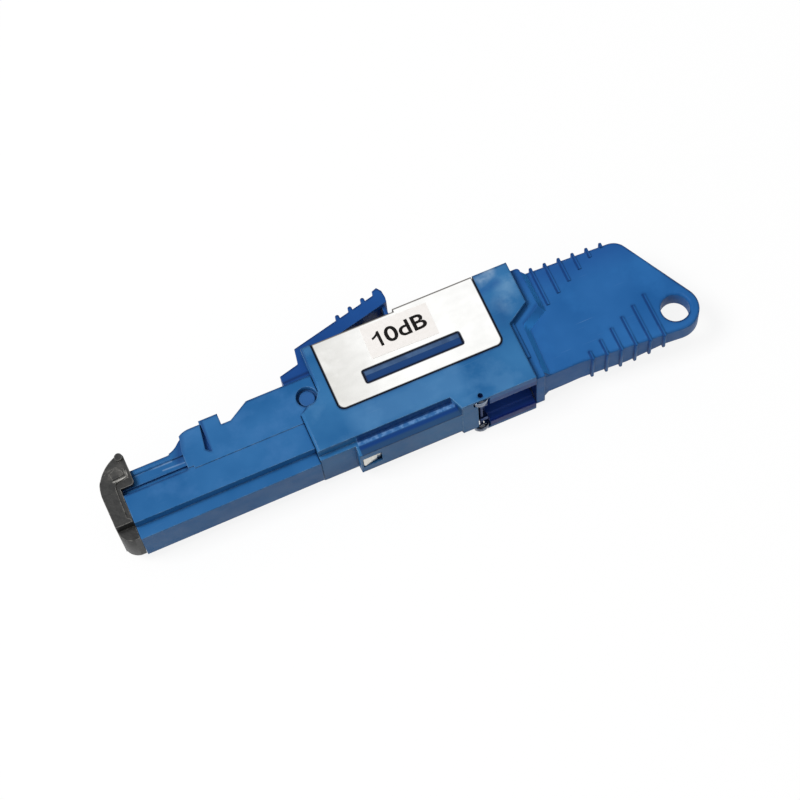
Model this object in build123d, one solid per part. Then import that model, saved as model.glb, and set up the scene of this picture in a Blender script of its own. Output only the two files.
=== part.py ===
from build123d import *
import math
import os

# Fibre attenuator with a spring-shuttered plug at one end and a shuttered socket at the other.
# It lies on one broad side. Modelled about its middle plane (Z = 0), with X = 0 at the front
# edge of the nose, X running to the handle, and Y = 0 near the keel. It is lifted and centred
# at the end. All sizes are in millimetres.

# Thicknesses across the broad sides, all centred on the middle plane
body_thick = 9.6
nose_thick = 8.4
keel_thick = 5.3
rail_thick = 6.4
lever_thick = 5.7
flange_thick = 7.6

# Running gap beside moving pieces, and the seat gap between fixed mouldings
run_gap = 0.25
seat_gap = 0.06

# Nose: levels in Y and stations in X
keel_y = -0.43
keel_rise = 0.13
band_y = 1.3
recess_y0 = 5.2
recess_y1 = 7.6
recess_thick = 5.95
recess_x1 = 8.55
groove_y1 = 6.2
groove_thick = 5.1
bead_thick = 6.5
bead_x0 = 0.9
shelf_y = 8.38
curve_start_x = 6.3
curve_end_x = 10.5
crest_y = 10.15
tooth_x0 = 11.85
tooth_x1 = 14.36
tooth_y = 10.6
dip_y = 9.06
dip_x1 = 15.6
back_x = 18.27
back_y = 10.68
slit_depth = 0.8
panel_x = 9.3
panel_y = 4.95
panel_step = 0.12
nose_edge_r = 0.25

# Where the nose meets the rear housing
shoulder_x = 23.8
shoulder_y = 6.0
cheek_x = 26.9
spigot_x = 26.6
spigot_y0 = 1.7
spigot_y1 = 6.0
spigot_thick = 6.2

# Lever pivot
pivot_x = 25.36
pivot_y = 8.1
pivot_ring_r = 1.35
pivot_ring_depth = 0.9
boss_r = 1.0
boss_gap = 0.06
boss_end_inset = 0.6
hub_r = 1.3

# Lever
lever_slope = 0.236
lever_block_y0 = 10.8
lever_block_y1 = 12.6
lever_brow_x = 26.05
lever_brow_y = 13.25
leaf_foot_x = 29.6
leaf_bend_x = 32.0
leaf_tip_x = 36.4
lever_front_x = 26.5
lever_front_y = 15.38
lever_plate = 1.8
lever_end_x = 38.4
hook_y = 19.0
lever_block_x = 23.45
lever_back_x = 27.3
thumb_rib_x0 = 33.15
thumb_rib_pitch = 1.9
thumb_rib_count = 3
thumb_rib_w = 0.55
thumb_rib_h = 0.62
lever_swing = 5.0

# Lever bay in the rear housing
bay_thick = 6.3
bay_floor_y = 12.2
bay_end_x = 40.3

# Rear housing
housing_low_y = -1.5
housing_band_y = 0.45
housing_top_y = 14.52
housing_front_y = 14.24
housing_edge_r = 0.35
under_y = -0.15
rail_x = 28.45
rail_low_y = -1.4
rail_bevel_y = -0.35
rail_foot = 2.6
rail_end_x = 41.4
rail_slant = 0.8
low_cut_x1 = 45.4
low_cut_z = -3.2
socket_low_x = 52.2
socket_top_x = 55.25
notch_low_y = 6.55
notch_top_y = 8.5

# Socket cavity
socket_floor_x = 28.5
socket_keel_thick = 5.5
socket_keel_y = -0.6
socket_step_y = 1.45
socket_side_wall = 0.5
socket_main_thick = body_thick - 2 * socket_side_wall
socket_top_y = 10.75
window_z0 = -3.0
window_z1 = 2.6

# Side clip and label
clip_sheet = 0.25
clip_recess = 0.3
clip_gap = 0.14
clip_x0 = 28.5
clip_x1 = 50.4
clip_y0 = 4.48
clip_edge_y = 14.14
clip_rise_x = 39.6
clip_corner = 0.85
clip_slot_x0 = 32.8
clip_slot_x1 = 46.0
clip_slot_y0 = 6.38
clip_slot_y1 = 8.28
clip_rib_gap = 0.12
label_x0 = 34.75
label_x1 = 43.75
label_y0 = 9.1
label_y1 = 13.7
label_sheet = 0.05

# Ferrule line
ferrule_y = 3.8
ferrule_r = 1.25
ferrule_x0 = 0.5
ferrule_x1 = 30.8
fibre_r = 0.0625
fibre_gap = 0.001
ferrule_stroke = 0.5
nose_bore_r = 2.6
nose_bore_len = 8.5
chamber_x = 13.4
chamber_r = 2.3
ferrule_hole_r = 1.45
ferrule_flange_len = 2.4
ferrule_flange_r = 2.15
coil_len = 4.5
coil_turns = 5
coil_wire = 0.4
coil_mean_r = 1.75
retainer_len = 1.6
holder_r = 2.45
holder_bore_r = 1.75
holder_flange_r = 2.95
holder_flange_len = 0.9
holder_end_x = 34.9
holder_cap_len = 0.5
holder_cap_hole_r = 1.45
sleeve_x0 = 27.2
sleeve_x1 = 34.7
sleeve_r = 1.65
sleeve_gap = 0.03
sleeve_slit = 0.4

# Front shutter
cap_front_x = -2.5
cap_wall = 0.85
cap_back_x = -0.05
cap_lip = 0.6
cap_thick = 8.3
cap_panel_step = 0.2
cap_ear_inner = 3.35
cap_skirt_y = 1.6
cap_low_y = -0.2
cap_pivot_x = 1.0
cap_pivot_y = 7.3
cap_pin_r = 0.45
cap_pin_gap = 0.04
cap_open_angle = 88.0
cap_corner_r = 1.7

# Rear shutter, its pin and its flat spring
flap_pivot_x = 44.9
flap_pivot_y = -0.86
flap_pin_r = 0.24
flap_pin_gap = 0.03
flap_side_wall = 0.4
flap_notch_half = body_thick / 2 - flap_side_wall
flap_pin_half = flap_notch_half - 0.5
flap_hole_r = 0.34
flap_barrel_r = 0.42
flap_barrel_z = 2.1
flap_barrel_half = 0.4
flap_sheet = 0.25
flap_offset = 0.5
flap_top_y = 7.2
flap_half_w = 2.55
flap_notch_x0 = 43.7
flap_notch_x1 = 45.9
pin_clip_z0 = flap_notch_half - 0.95
pin_clip_z1 = flap_notch_half - 0.1
pin_clip_sheet = 0.22
flap_open_angle = 88.0
leaf_sheet = 0.15
leaf_half_w = 1.2
leaf_groove_y = -1.05

# Rail slot, where the leaf's bent tab shows
rail_slot_x0 = 28.75
rail_slot_x1 = 31.3
rail_slot_z0 = -1.2
rail_slot_z1 = 1.25

# Dust plug
tongue_x = 46.1
tongue_gap = 0.4
tongue_main_thick = socket_main_thick - tongue_gap
tongue_keel_thick = socket_keel_thick - tongue_gap + 0.1
tongue_top_y = 10.6
tongue_step_y = 1.6
tongue_low_y = 1.0
flange_wide = 1.22
flange_top_y = 13.65
flange_low_y = -1.35
flange_top_r = 0.45
flange_skirt = 0.85
flange_skirt_tilt = 31
handle_half = 2.5
handle_mid_z = -2.0
handle_mid_x = 64.8
handle_tip_z = -0.4
handle_thin_x = 69.6
handle_low_y = -0.95
handle_top_y = 13.25
handle_shoulder_x = 69.79
handle_shoulder_y = 12.65
handle_shoulder_r = 2.2
handle_eye_x = 72.45
handle_eye_y = 1.0
handle_eye_r = 1.85
handle_eye_cut = 0.25
handle_end_r = 3.05
handle_slope_x = 0.4636
handle_slope_y = -0.886
handle_edge_cut = 0.22
handle_pull = 15.0
rib_pitch = 1.9
rib_count = 6
rib_wide = 0.42
rib_high = 0.36
rib_face = 0.16
top_rib_x0 = 58.1
low_rib_x0 = 60.05
top_rib_foot = 7.9
top_rib_rise = 0.97
low_rib_head = -0.1
low_rib_rise = 0.88
handle_root_x = 52.9
handle_bend_x = 58.6
handle_top_x0 = 56.2


def handle_top(x):
    """Upper edge of the handle at a station."""
    fall = (handle_top_y - handle_shoulder_y) / (handle_shoulder_x - handle_top_x0)
    return handle_top_y - (x - handle_top_x0) * fall


def handle_low(x):
    """Lower edge of the handle at a station: level at first, then falling to the round end."""
    fall = (handle_low_y - handle_eye_y + handle_end_r) / (handle_eye_x - handle_bend_x)
    return handle_low_y - max(0, x - handle_bend_x) * fall


# Position of the whole part: centred in X and Y, standing on its lower broad face
mid_z = body_thick / 2
x_min = cap_front_x
x_max = handle_eye_x + handle_end_r
y_min = handle_low(low_rib_x0 + (rib_count - 1) * rib_pitch) - rib_high
centre = ((x_min + x_max) / 2, (y_min + hook_y) / 2)


def slab(points, thick):
    """A closed outline in XY, extruded evenly to both sides of the middle plane."""
    face = make_face(Polyline(*points, close=True))
    return extrude(face, amount=thick / 2, both=True)


def block(x0, x1, y0, y1, z0, z1):
    """A box given by its limits."""
    return Pos((x0 + x1) / 2, (y0 + y1) / 2, (z0 + z1) / 2) * Box(x1 - x0, y1 - y0, z1 - z0)


def rod_x(x0, x1, radius, y=ferrule_y, z=0.0):
    """A round bar along X."""
    return Pos((x0 + x1) / 2, y, z) * Rot(0, 90, 0) * Cylinder(radius, x1 - x0)


def rod_z(x, y, z0, z1, radius):
    """A round bar along Z."""
    return Pos(x, y, (z0 + z1) / 2) * Cylinder(radius, z1 - z0)


def both_sides(shape):
    """A shape and its mirror image in the middle plane."""
    return shape + mirror(shape, about=Plane.XY)


def nose_outline():
    """Upper outline of the nose, with its S curve as two tangent arcs."""
    half_run = (curve_end_x - curve_start_x) / 2
    half_rise = (crest_y - shelf_y) / 2
    bend = (half_run ** 2 + half_rise ** 2) / (2 * half_rise)
    turn = math.asin(half_run / bend)
    quarter_x = bend * math.sin(turn / 2)
    quarter_y = bend * (1 - math.cos(turn / 2))
    mid = (curve_start_x + half_run, shelf_y + half_rise)
    low = ThreePointArc(
        (curve_start_x, shelf_y), (curve_start_x + quarter_x, shelf_y + quarter_y), mid)
    high = ThreePointArc(
        mid, (curve_end_x - quarter_x, crest_y - quarter_y), (curve_end_x, crest_y))
    front = Polyline((0, band_y), (0, shelf_y), (curve_start_x, shelf_y))
    back = Polyline(
        (curve_end_x, crest_y),
        (tooth_x0, crest_y),
        (tooth_x0, tooth_y),
        (tooth_x1, tooth_y),
        (tooth_x1, dip_y),
        (dip_x1, dip_y),
        (back_x, back_y),
        (cheek_x - seat_gap, back_y),
        (cheek_x - seat_gap, pivot_y),
        (shoulder_x - seat_gap, shoulder_y),
        (shoulder_x - seat_gap, band_y),
        (0, band_y),
    )
    return make_face([front, low, high, back])


def nose_keel():
    """Narrow keel under the nose, with its underside rising a little towards the housing."""
    x1 = shoulder_x - seat_gap
    return slab([(0, keel_y), (x1, keel_y + keel_rise), (x1, band_y + 1), (0, band_y + 1)], keel_thick)


def recess_cut():
    """Side recess under the shelf: a deep groove below, and a shallower wall up to the bead."""
    half = nose_thick / 2
    wall = block(-1, recess_x1, recess_y0, recess_y1, recess_thick / 2, half + 1)
    groove = block(-1, recess_x1, recess_y0, groove_y1, groove_thick / 2, half + 1)
    upper = Pos(0, 0, bead_thick / 2) * extrude(make_face(Polyline(
        (-1, recess_y1), (recess_x1, recess_y1), (recess_x1 + 0.35, shelf_y + 0.95),
        (recess_x1 + 0.6, crest_y + 1), (-1, crest_y + 1), close=True)), amount=half)
    ledge = block(-1, curve_start_x + 0.7, recess_y1, crest_y + 1, recess_thick / 2, half + 1)
    return both_sides(wall) + both_sides(groove) + both_sides(upper) + both_sides(ledge)


def make_plug_body():
    half = nose_thick / 2
    body = extrude(nose_outline(), amount=half, both=True)
    body += nose_keel()
    body += block(
        shoulder_x - 1, spigot_x, spigot_y0, spigot_y1, -spigot_thick / 2, spigot_thick / 2)
    slit = Pos(0, 0, half - slit_depth) * extrude(
        make_face(Polyline(
            (tooth_x0, crest_y - 0.12), (tooth_x0 + 0.14, crest_y - 0.12),
            (tooth_x0 + 0.16, 6.2), (tooth_x0 - 0.5, 6.75), close=True)),
        amount=slit_depth + 1)
    field = block(-1, shoulder_x, band_y - 1, panel_y, half - panel_step, half + 1)
    field += block(-1, panel_x, band_y - 1, recess_y0 + 0.1, half - panel_step, half + 1)
    body -= recess_cut() + both_sides(slit) + both_sides(field)
    bead = block(bead_x0, curve_start_x + 1, recess_y1, shelf_y, -bead_thick / 2, bead_thick / 2)
    body += fillet(bead.edges().filter_by(Axis.X), nose_edge_r)
    body -= block(
        lever_block_x - run_gap, cheek_x + 1, pivot_y - hub_r - run_gap, back_y + 1,
        -lever_thick / 2 - run_gap, lever_thick / 2 + run_gap)
    body += block(-cap_lip, 0.5, cap_skirt_y + 0.6, 5.0, -cap_ear_inner + 0.25, cap_ear_inner - 0.25)
    body += block(-cap_lip, 0.5, 0.75, cap_skirt_y + 0.8, -1.6, 1.6)
    body -= both_sides(rod_z(pivot_x, pivot_y, half - pivot_ring_depth, half + 1, pivot_ring_r))
    body -= rod_z(pivot_x, pivot_y, -half, half, boss_r + boss_gap)
    body -= rod_x(-1, nose_bore_len, nose_bore_r)
    body -= rod_x(nose_bore_len - 1, chamber_x + 1, ferrule_hole_r)
    body -= rod_x(chamber_x, spigot_x + 1, chamber_r)
    body -= rod_z(cap_pivot_x, cap_pivot_y, -half, half, cap_pin_r + cap_pin_gap / 2)
    body -= block(-1, 6.2, shelf_y - 0.75, shelf_y + 1, -1.1, 1.1)
    return body


def housing_wide_outline():
    """Broad-side outline of the rear housing, with the corner at the lever's pivot."""
    return [
        (shoulder_x, housing_band_y),
        (rail_end_x, housing_band_y),
        (rail_end_x + rail_slant, housing_low_y),
        (socket_low_x, housing_low_y),
        (socket_low_x, notch_low_y),
        (socket_top_x, notch_top_y),
        (socket_top_x, housing_top_y),
        (clip_rise_x, housing_top_y),
        (clip_rise_x - 0.1, clip_edge_y + 0.12),
        (cheek_x + 0.1, clip_edge_y + 0.08),
        (cheek_x, pivot_y),
        (shoulder_x, shoulder_y),
    ]


def housing_shell():
    """The housing's wide body, its front edges eased all round."""
    shell = slab(housing_wide_outline(), body_thick)
    rims = shell.edges().group_by(Axis.Z)[0] + shell.edges().group_by(Axis.Z)[-1]
    front = rims.filter_by(lambda e: e.center().X < cheek_x + 0.06)
    return fillet(front, housing_edge_r)


def housing_rail():
    """Long rail under the housing: upright sides, then steep bevels down to a narrow foot."""
    wide = rail_thick / 2
    x1 = rail_end_x + rail_slant
    section = make_face(Polyline(
        (rail_x, housing_band_y + 1, wide), (rail_x, rail_bevel_y, wide), (rail_x, rail_low_y, rail_foot),
        (rail_x, rail_low_y, -rail_foot), (rail_x, rail_bevel_y, -wide),
        (rail_x, housing_band_y + 1, -wide), close=True))
    rail = extrude(section, amount=x1 - rail_x, dir=(1, 0, 0))
    return rail + block(shoulder_x, rail_end_x, under_y, housing_band_y + 1, -wide, wide)


def make_rear_housing():
    half = body_thick / 2
    body = housing_shell() + housing_rail()
    body -= block(
        rail_end_x - 1, low_cut_x1, housing_low_y - 1, housing_band_y, -half - 1, low_cut_z)
    body -= both_sides(rod_z(pivot_x, pivot_y, nose_thick / 2 - pivot_ring_depth, half + 1,
                             pivot_ring_r + 0.05))
    body -= block(cheek_x - 4, bay_end_x, bay_floor_y, hook_y, -bay_thick / 2, bay_thick / 2)
    body -= block(
        cheek_x - 4, lever_back_x + 0.45, spigot_y1 + 0.55, bay_floor_y + 1,
        -bay_thick / 2, bay_thick / 2)
    body -= rod_z(pivot_x, pivot_y, -half, half, boss_r + boss_gap)
    body -= block(
        shoulder_x - 1, spigot_x + holder_flange_len + 0.1, spigot_y0 - seat_gap,
        spigot_y1 + seat_gap, -spigot_thick / 2 - seat_gap, spigot_thick / 2 + seat_gap)
    body -= rod_x(spigot_x, socket_floor_x + 1, holder_r + seat_gap)
    body -= block(
        socket_floor_x, socket_top_x + 1, socket_step_y, socket_top_y,
        -socket_main_thick / 2, socket_main_thick / 2)
    body -= block(
        socket_floor_x, socket_top_x + 1, socket_keel_y, socket_step_y + 1,
        -socket_keel_thick / 2, socket_keel_thick / 2)
    body -= block(
        flap_pivot_x - 0.6, socket_low_x + 1, housing_low_y - 1, socket_keel_y + 0.2,
        window_z0, window_z1)
    body -= block(
        flap_pivot_x - 0.6, flap_notch_x1, housing_low_y - 1, flap_pivot_y + 0.6,
        -flap_notch_half, flap_notch_half)
    body -= both_sides(block(
        flap_notch_x0, flap_notch_x1, housing_low_y - 1, flap_pivot_y + 0.3,
        pin_clip_z0 - 0.1, flap_notch_half))
    body -= rod_z(flap_pivot_x, flap_pivot_y, -half, half, flap_hole_r)
    body -= block(
        rail_x + 0.1, flap_pivot_x, leaf_groove_y, socket_keel_y + 0.1,
        -leaf_half_w - 0.1, leaf_half_w + 0.1)
    body -= block(
        rail_slot_x0, rail_slot_x1, rail_low_y - 1, leaf_groove_y + 0.1,
        rail_slot_z0, rail_slot_z1)
    recess = block(
        clip_x0 - clip_gap, clip_x1 + clip_gap, clip_y0 - clip_gap, hook_y,
        half - clip_recess, half + 1)
    recess = fillet(recess.edges().filter_by(Axis.Z).group_by(Axis.Y)[0], clip_corner)
    body -= both_sides(recess)
    body -= block(bay_end_x, clip_x1 + clip_gap, housing_top_y - clip_sheet - 0.02,
                  hook_y, -half - 1, half + 1)
    body += both_sides(slot_rib())
    return body


def slot_rib():
    """Rib that fills the clip's slot: its upper half is flush and its lower half slopes."""
    half = body_thick / 2
    low = half - clip_recess
    y0 = clip_slot_y0 + clip_rib_gap
    y1 = clip_slot_y1 - clip_rib_gap
    mid = (y0 + y1) / 2
    section = make_face(Polyline(
        (clip_slot_x0 + clip_rib_gap, y0, low - 0.1),
        (clip_slot_x0 + clip_rib_gap, y0, low + 0.06),
        (clip_slot_x0 + clip_rib_gap, mid, half - 0.02),
        (clip_slot_x0 + clip_rib_gap, y1, half - 0.02),
        (clip_slot_x0 + clip_rib_gap, y1, low - 0.1),
        close=True))
    return extrude(section, amount=clip_slot_x1 - clip_slot_x0 - 2 * clip_rib_gap, dir=(1, 0, 0))


def make_side_clip():
    half = body_thick / 2
    z1 = half - 0.05
    z0 = z1 - clip_sheet
    side = block(clip_x0, clip_x1, clip_y0, clip_edge_y, z0, z1)
    side = fillet(side.edges().filter_by(Axis.Z).group_by(Axis.Y)[0], clip_corner)
    side += block(clip_rise_x, clip_x1, clip_edge_y - 1, housing_top_y, z0, z1)
    side -= block(clip_slot_x0, clip_slot_x1, clip_slot_y0, clip_slot_y1, z0 - 1, z1 + 1)
    web = block(bay_end_x + 0.1, clip_x1, housing_top_y - clip_sheet, housing_top_y, -z1, z1)
    return both_sides(side) + web


def make_rating_label():
    z1 = body_thick / 2
    label = block(label_x0, label_x1, label_y0, label_y1, z1 - label_sheet, z1)
    turn = Pos((label_x0 + label_x1) / 2, (label_y0 + label_y1) / 2, 0) * Rot(0, 0, -1.2)
    return turn * Pos(-(label_x0 + label_x1) / 2, -(label_y0 + label_y1) / 2, 0) * label


def cap_outline():
    """Outline of the front shutter above its skirt, seen on the broad side."""
    lines = Polyline(
        (cap_front_x + 0.14, cap_skirt_y), (cap_back_x, cap_skirt_y), (cap_back_x, 6.2), (1.3, 6.2))
    corner = ThreePointArc((1.3, 6.2), (1.66, 6.36), (1.8, 6.75))
    back = Polyline((1.8, 6.75), (1.8, 8.3), (1.75, 10.2))
    tip = ThreePointArc((1.75, 10.2), (1.45, 10.62), (0.95, 10.62))
    brow = ThreePointArc((0.95, 10.62), (-1.1, 9.35), (-2.28, 7.55))
    cheek = ThreePointArc((-2.28, 7.55), (-2.45, 6.7), (cap_front_x, 5.6))
    front = Line((cap_front_x, 5.6), (cap_front_x + 0.14, cap_skirt_y))
    return make_face([lines, corner, back, tip, brow, cheek, front])


def cap_panel():
    """Raised field on each side of the shutter."""
    points = [
        (-3, 1.0), (cap_back_x - 0.1, 1.0), (cap_back_x - 0.1, 1.95), (-0.6, 2.3), (-0.55, 6.3),
        (-0.35, 7.05), (1.22, 7.4), (1.22, 8.6), (0.25, 9.15), (-0.65, 8.95), (-1.5, 8.6), (-3, 7),
    ]
    return make_face(Polyline(*points, close=True))


def cap_skirt():
    """Narrow lower end of the shutter, swept forward in one round corner."""
    x0 = cap_front_x + 0.14
    lines = Polyline(
        (x0 + 0.06, cap_skirt_y - 0.35), (x0, cap_skirt_y + 0.3), (cap_back_x, cap_skirt_y + 0.3),
        (cap_back_x, cap_low_y), (-0.75, cap_low_y))
    corner = ThreePointArc((-0.75, cap_low_y), (-1.82, 0.37), (x0 + 0.06, cap_skirt_y - 0.35))
    return extrude(make_face([lines, corner]), amount=keel_thick / 2, both=True)


def make_front_shutter():
    half = cap_thick / 2
    upper = extrude(cap_outline(), amount=half - cap_panel_step, both=True)
    field = Pos(0, 0, half - cap_panel_step - 0.2) * extrude(cap_panel(), amount=cap_panel_step + 0.2)
    field = field & extrude(cap_outline(), amount=half, both=True)
    cap = upper + both_sides(field) + cap_skirt()
    inner_x = cap_front_x + cap_wall
    inner = block(inner_x, 0.1, cap_skirt_y + 0.35, 8.0, -cap_ear_inner, cap_ear_inner)
    low_inner = block(inner_x, 0.1, 0.55, cap_skirt_y + 0.5, -1.9, 1.9)
    behind = block(-0.25, 3, 5.5, 12, -cap_ear_inner, cap_ear_inner)
    arch = Pos(0.3, 7.2, 0) * Cylinder(2.0, 2 * cap_ear_inner)
    cap -= inner + low_inner + behind + arch
    knob = rod_z(1.15, 10.2, cap_ear_inner + 0.1, half + 0.18, 0.5)
    pad = Pos(0, 0, half - 0.2) * extrude(make_face(Polyline(
        (-0.55, 7.55), (0.95, 7.75), (0.95, 8.35), (0.2, 8.9), (-0.75, 8.5), close=True)), amount=0.32)
    cap += both_sides(knob) + both_sides(pad)
    for side in (-1, 1):
        z0, z1 = sorted((side * (cap_ear_inner - 0.1), side * (half - cap_panel_step - 0.15)))
        cap -= rod_z(cap_pivot_x, cap_pivot_y, z0, z1, cap_pin_r + cap_pin_gap)
    return cap


def make_front_shutter_pin():
    reach = cap_thick / 2 - cap_panel_step - 0.2
    return rod_z(cap_pivot_x, cap_pivot_y, -reach, reach, cap_pin_r)


def make_front_shutter_spring():
    """Flat return spring in the shelf's groove, reaching behind the shutter's brow."""
    t = 0.14
    points = [
        (5.9, shelf_y - 0.7), (2.2, shelf_y - 0.25), (-0.55, shelf_y + 0.1),
        (-0.55, shelf_y + 0.1 + t), (2.2, shelf_y - 0.25 + t), (5.9, shelf_y - 0.7 + t),
    ]
    return slab(points, 1.8)


def lever_top(x):
    """Height of the lever's sloping top above a station."""
    return lever_front_y + (x - lever_front_x) * lever_slope


def make_latch_lever():
    under = lever_plate
    points = [
        (lever_block_x + 0.2, pivot_y + 0.4),
        (lever_block_x + 0.2, lever_block_y0),
        (lever_block_x, lever_block_y0),
        (lever_block_x, lever_block_y1),
        (lever_brow_x, lever_brow_y),
        (lever_front_x - 0.35, lever_brow_y + 0.1),
        (lever_front_x, lever_front_y),
        (lever_end_x, lever_top(lever_end_x)),
        (38.5, 18.75),
        (39.2, hook_y),
        (39.65, 18.35),
        (39.75, 17.3),
        (39.65, lever_top(39.65) - under),
        (29.4, lever_top(29.4) - under),
        (28.2, 13.2),
        (lever_back_x, 12.3),
        (lever_back_x, pivot_y),
        (pivot_x + hub_r, pivot_y - 0.3),
        (pivot_x - hub_r, pivot_y - 0.3),
    ]
    lever = slab(points, lever_thick)
    lever += rod_z(pivot_x, pivot_y, -lever_thick / 2, lever_thick / 2, hub_r)
    boss = nose_thick / 2 - boss_end_inset
    lever += rod_z(pivot_x, pivot_y, -boss, boss, boss_r)
    lever += block(38.9, 39.35, 15.1, lever_top(39) - under + 0.3, -2.1, 2.1)
    for i in range(thumb_rib_count):
        x = thumb_rib_x0 + i * thumb_rib_pitch
        top = lever_top(x) + thumb_rib_h
        r = thumb_rib_w / 2
        lever += block(x - r, x + r, top - 1.2, top - r, -lever_thick / 2, lever_thick / 2)
        lever += rod_z(x, top - r, -lever_thick / 2, lever_thick / 2, r)
    return lever


def make_lever_spring():
    """Leaf that stands on the bay's floor and holds the lever up."""
    t = 0.15
    tip_y = lever_top(leaf_tip_x) - lever_plate - 0.25
    points = [
        (leaf_foot_x, bay_floor_y + 0.02), (leaf_bend_x, bay_floor_y + 0.02),
        (leaf_tip_x, tip_y - t), (leaf_tip_x, tip_y),
        (leaf_bend_x - 0.1, bay_floor_y + 0.02 + t), (leaf_foot_x, bay_floor_y + 0.02 + t),
    ]
    return slab(points, 3.0)


def make_ferrule():
    body = rod_x(ferrule_x0, ferrule_x1, ferrule_r)
    body = chamfer(body.edges().filter_by(GeomType.CIRCLE), 0.15)
    return body - rod_x(ferrule_x0 - 1, ferrule_x1 + 1, fibre_r + fibre_gap)


def make_doped_fibre():
    return rod_x(ferrule_x0 + 0.01, ferrule_x1 - 0.01, fibre_r)


def make_ferrule_flange():
    x0 = chamber_x + 0.1
    body = rod_x(x0, x0 + ferrule_flange_len, ferrule_flange_r)
    notch = block(x0 - 1, x0 + 1.2, ferrule_y + 1.6, ferrule_y + 3, -0.5, 0.5)
    turned = [Pos(0, ferrule_y, 0) * Rot(a, 0, 0) * Pos(0, -ferrule_y, 0) * notch
              for a in (0, 90, 180, 270)]
    for cut in turned:
        body -= cut
    return body - rod_x(x0 - 1, x0 + 5, ferrule_r + 0.01)


def make_ferrule_spring():
    """Compression coil between the flange and its retainer."""
    x0 = chamber_x + 0.1 + ferrule_flange_len + coil_wire / 2 + 0.02
    height = coil_len - coil_wire - 0.04
    path = Helix(pitch=height / coil_turns, height=height, radius=coil_mean_r)
    profile = Plane(path @ 0, z_dir=path % 0) * RegularPolygon(coil_wire / 2, 6)
    coil = sweep(profile, path=path, is_frenet=True)
    return Pos(x0, ferrule_y, 0) * Rot(0, 90, 0) * coil


def make_spring_retainer():
    x0 = chamber_x + 0.1 + ferrule_flange_len + coil_len
    return rod_x(x0, x0 + retainer_len, chamber_r - 0.02) - rod_x(x0 - 1, x0 + 5, ferrule_r + 0.1)


def make_sleeve_holder():
    x0 = spigot_x + 0.03
    flange = rod_x(x0, x0 + holder_flange_len, holder_flange_r)
    flange = flange & block(
        x0 - 1, x0 + 5, spigot_y0, spigot_y1, -spigot_thick / 2, spigot_thick / 2)
    tube = rod_x(x0, holder_end_x, holder_r)
    return flange + tube - rod_x(x0 - 1, holder_end_x + 1, holder_bore_r)


def make_sleeve_retainer():
    cap = rod_x(holder_end_x + 0.01, holder_end_x + holder_cap_len, holder_r)
    return cap - rod_x(holder_end_x - 1, holder_end_x + 2, holder_cap_hole_r)


def make_split_sleeve():
    tube = rod_x(sleeve_x0, sleeve_x1, sleeve_r)
    tube -= rod_x(sleeve_x0 - 1, sleeve_x1 + 1, ferrule_r + sleeve_gap)
    slit = block(sleeve_x0 - 1, sleeve_x1 + 1, ferrule_y, ferrule_y + 3,
                 -sleeve_slit / 2, sleeve_slit / 2)
    return tube - slit


def make_rear_shutter():
    """Hinged flap across the socket, on two knuckles about its pin."""
    x0 = flap_pivot_x + flap_offset
    flap = block(x0, x0 + flap_sheet, flap_pivot_y, flap_top_y, -flap_half_w, flap_half_w)
    for z in (-flap_barrel_z, flap_barrel_z):
        z0 = z - flap_barrel_half
        z1 = z + flap_barrel_half
        flap += rod_z(flap_pivot_x, flap_pivot_y, z0, z1, flap_barrel_r)
        flap += block(flap_pivot_x, x0 + flap_sheet, flap_pivot_y - 0.35, flap_pivot_y + 0.3, z0, z1)
    gap_z = flap_barrel_z - flap_barrel_half
    flap -= block(x0 - 0.1, x0 + flap_sheet + 0.1, flap_pivot_y - 1, flap_pivot_y + 0.6, -gap_z, gap_z)
    return flap - rod_z(flap_pivot_x, flap_pivot_y, -5, 5, flap_pin_r + flap_pin_gap)


def make_rear_shutter_pin():
    return rod_z(flap_pivot_x, flap_pivot_y, -flap_pin_half, flap_pin_half, flap_pin_r)


def make_pin_clip(side):
    """Bowed sheet clip that seats the flap's pin at one end of its notch."""
    t = pin_clip_sheet
    x0 = flap_notch_x0 + 0.05
    x1 = flap_notch_x1 - 0.05
    seat = flap_pivot_y - flap_pin_r - 0.01
    bow = seat - 0.72
    outer = make_face([
        ThreePointArc((x0, seat - 0.12), (flap_pivot_x - 0.1, bow), (x1, seat - 0.02)),
        Polyline((x1, seat - 0.02), (x1 - 0.1, seat), (x0 + 0.3, seat), (x0, seat - 0.12)),
    ])
    inner = make_face([
        ThreePointArc((x0 + 0.5, seat - t), (flap_pivot_x - 0.1, bow + t), (x1 - 0.5, seat - t)),
        Line((x1 - 0.5, seat - t), (x0 + 0.5, seat - t)),
    ])
    clip = extrude(outer - inner, amount=pin_clip_z1 - pin_clip_z0)
    return Pos(0, 0, pin_clip_z0 if side > 0 else -pin_clip_z1) * clip


def make_pin_clip_top():
    return make_pin_clip(1)


def make_pin_clip_low():
    return make_pin_clip(-1)


def make_rear_shutter_spring():
    """Flat spring along the rail, with its anchor tab bent down into the rail's slot."""
    y0 = leaf_groove_y + 0.08
    leaf = block(rail_x + 0.25, flap_pivot_x - 1.3, y0, y0 + leaf_sheet, -leaf_half_w, leaf_half_w)
    tab_x = rail_slot_x0 + 0.08
    tab = slab([
        (tab_x, y0), (tab_x, y0 - 0.3), (tab_x + 0.2, y0 - 0.36),
        (tab_x + 1.85, y0 - 0.12), (tab_x + 1.85, y0),
    ], rail_slot_z1 - rail_slot_z0 - 0.25)
    return leaf + Pos(0, 0, (rail_slot_z0 + rail_slot_z1) / 2) * tab


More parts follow.
